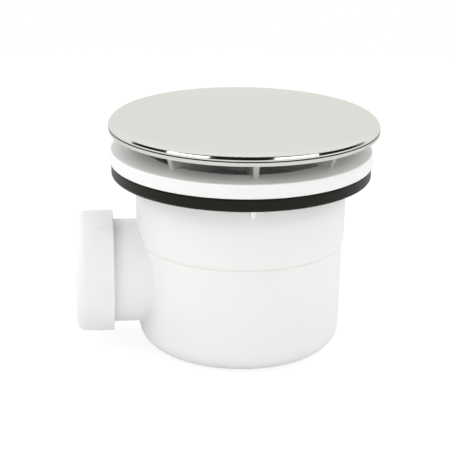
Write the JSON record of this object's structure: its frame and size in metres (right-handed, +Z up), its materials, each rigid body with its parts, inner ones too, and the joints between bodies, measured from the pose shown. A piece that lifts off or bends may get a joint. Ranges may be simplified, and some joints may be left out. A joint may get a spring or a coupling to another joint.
{
  "type": "shower trap",
  "caption": "Round shower trap: chromed cover on fins over a white clamping flange and black gasket, on a plastic pot with a removable water seal and a side outlet with slip nut.",
  "frame": {"origin": "centre of the pot's underside, on the plane it stands on", "axes": "+Z up along the pot's axis, -X along the outlet towards the waste pipe, -Y towards the front gusset"},
  "size_m": [0.1295, 0.115, 0.102],
  "materials": {
    "chromed_abs": "bright chrome plate on plastic",
    "white_pp": "smooth moulded",
    "grey_pp": "smooth moulded",
    "black_epdm": "moulded rubber",
    "natural_pe": "moulded"
  },
  "bodies": {
    "root": {"dome_cover": "chromed_abs", "waste_flange": "white_pp", "rim_gasket": "black_epdm", "trap_body": "white_pp", "dip_tube": "grey_pp", "dip_tube_o_ring": "black_epdm", "seal_cup": "grey_pp", "outlet_nut": "white_pp", "slip_ring": "natural_pe", "cone_seal": "black_epdm"}
  },
  "joints": []
}
